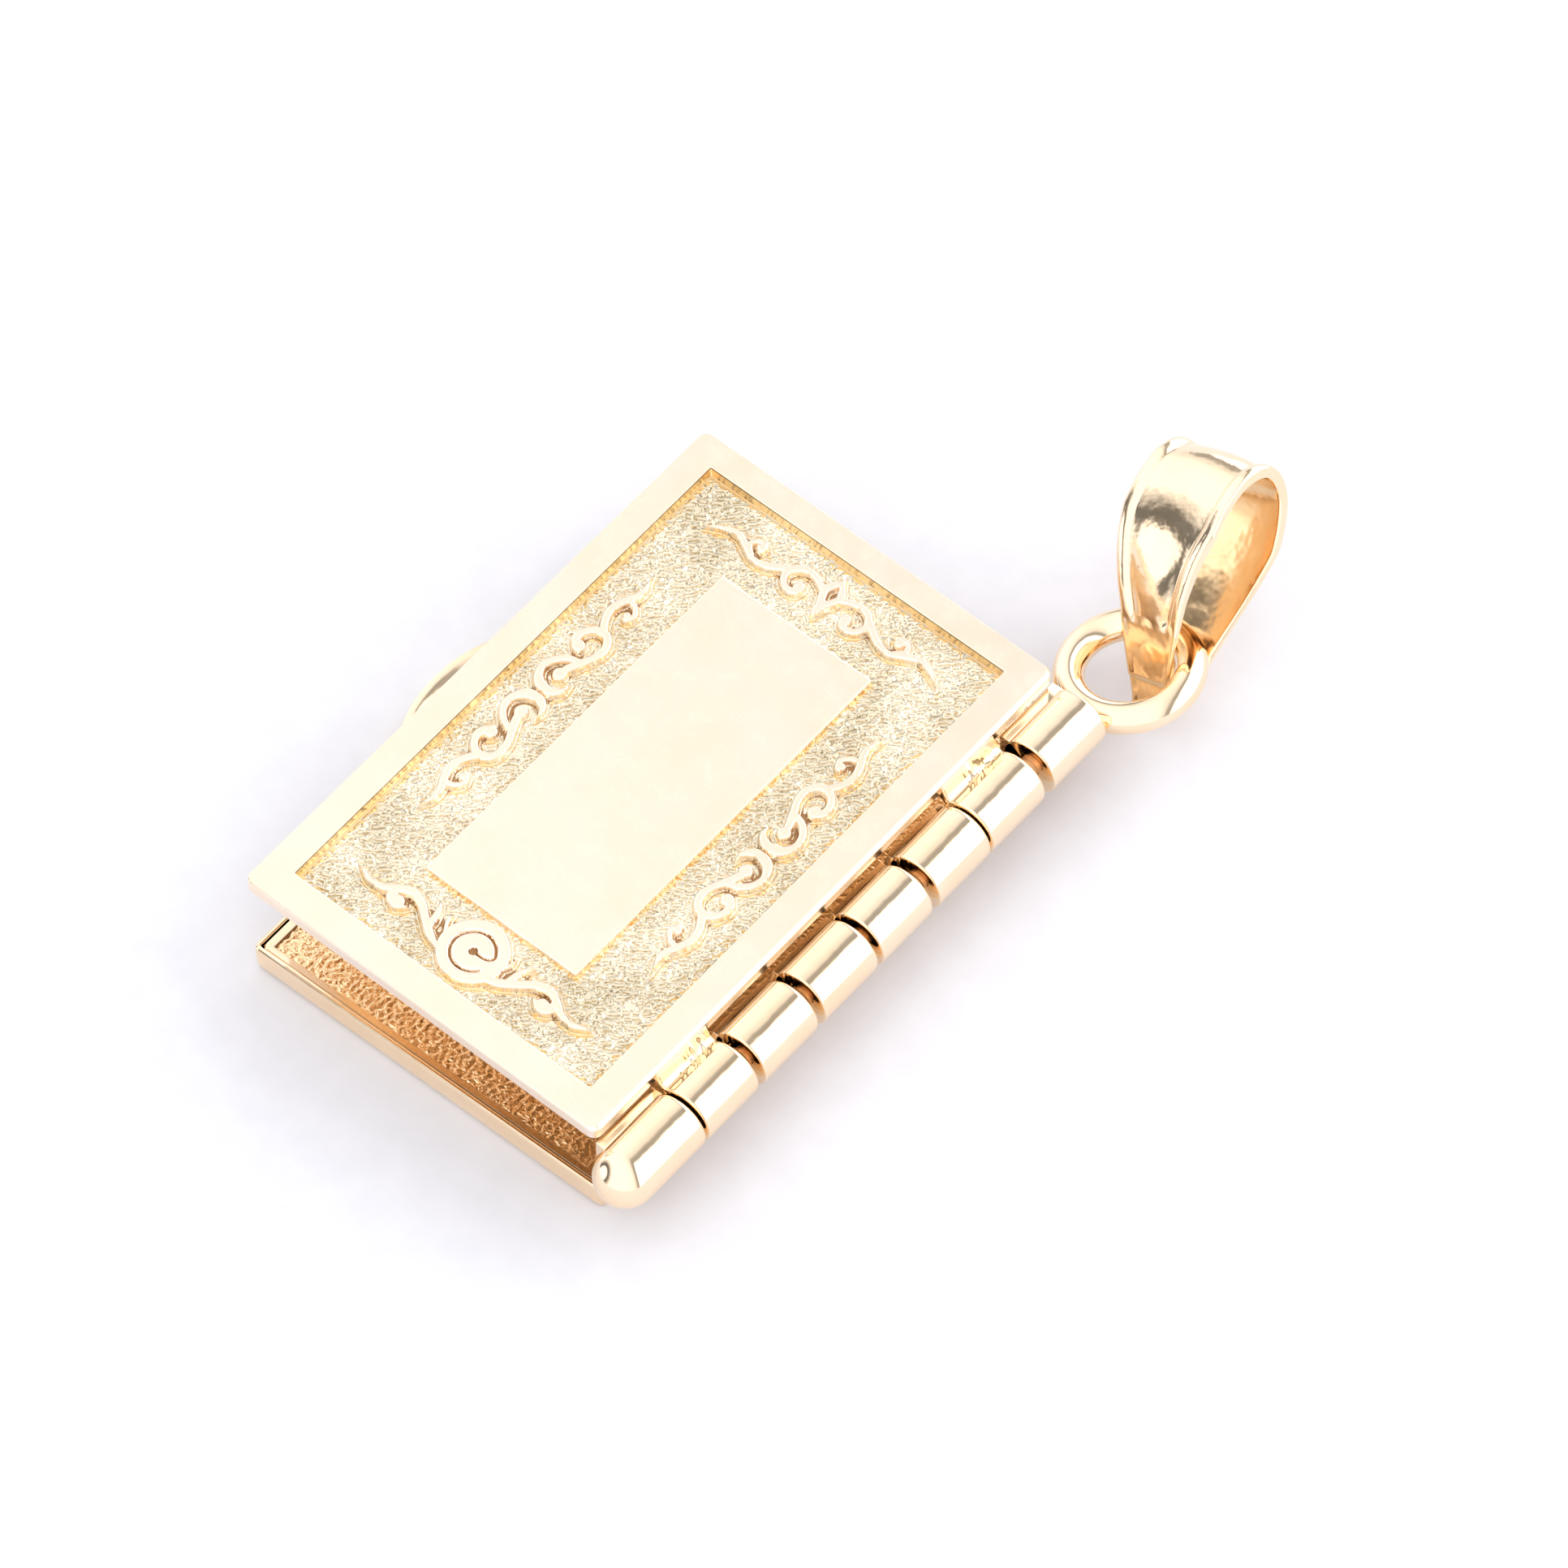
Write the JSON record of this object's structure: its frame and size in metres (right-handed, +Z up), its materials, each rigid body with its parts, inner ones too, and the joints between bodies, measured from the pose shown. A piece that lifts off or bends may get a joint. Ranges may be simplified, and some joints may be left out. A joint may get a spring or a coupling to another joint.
{
  "type": "book pendant",
  "caption": "Small gold pendant in the form of a closed book, with a hinged cover, thin metal leaves, a soldered ring and a tapered bail.",
  "frame": {"origin": "on the surface that the pendant lies on, below the middle of the front cover's width and half-way along the back cover", "axes": "+X from the fore edge to the spine, +Y from tail to head along the hinge, +Z up through the front cover"},
  "size_m": [0.0182, 0.0294, 0.0066],
  "materials": {
    "gold_front": "polished",
    "gold_back": "polished",
    "gold_leaf": "polished",
    "gold_bail": "polished"
  },
  "bodies": {
    "back": {"back_cover": "gold_back", "hinge_pin": "gold_back", "bail": "gold_bail"},
    "cover": {"front_cover": "gold_front"},
    "leaf_1": {"page_1": "gold_leaf"},
    "leaf_2": {"page_2": "gold_leaf"}
  },
  "joints": [
    {"name": "cover_hinge", "type": "hinge", "parent": "back", "child": "cover", "pos_m": [0.00764, 0, 0.0025], "axis": [0, 1, 0], "range_deg": [0, 178]},
    {"name": "leaf_1_hinge", "type": "hinge", "parent": "back", "child": "leaf_1", "pos_m": [0.00764, 0, 0.0025], "axis": [0, 1, 0], "range_deg": [0, 118]},
    {"name": "leaf_2_hinge", "type": "hinge", "parent": "back", "child": "leaf_2", "pos_m": [0.00764, 0, 0.0025], "axis": [0, 1, 0], "range_deg": [0, 60]}
  ],
  "couplings": [
    {"joint": "leaf_1_hinge", "follows": "cover_hinge", "ratio": 0.66},
    {"joint": "leaf_2_hinge", "follows": "cover_hinge", "ratio": 0.33}
  ]
}
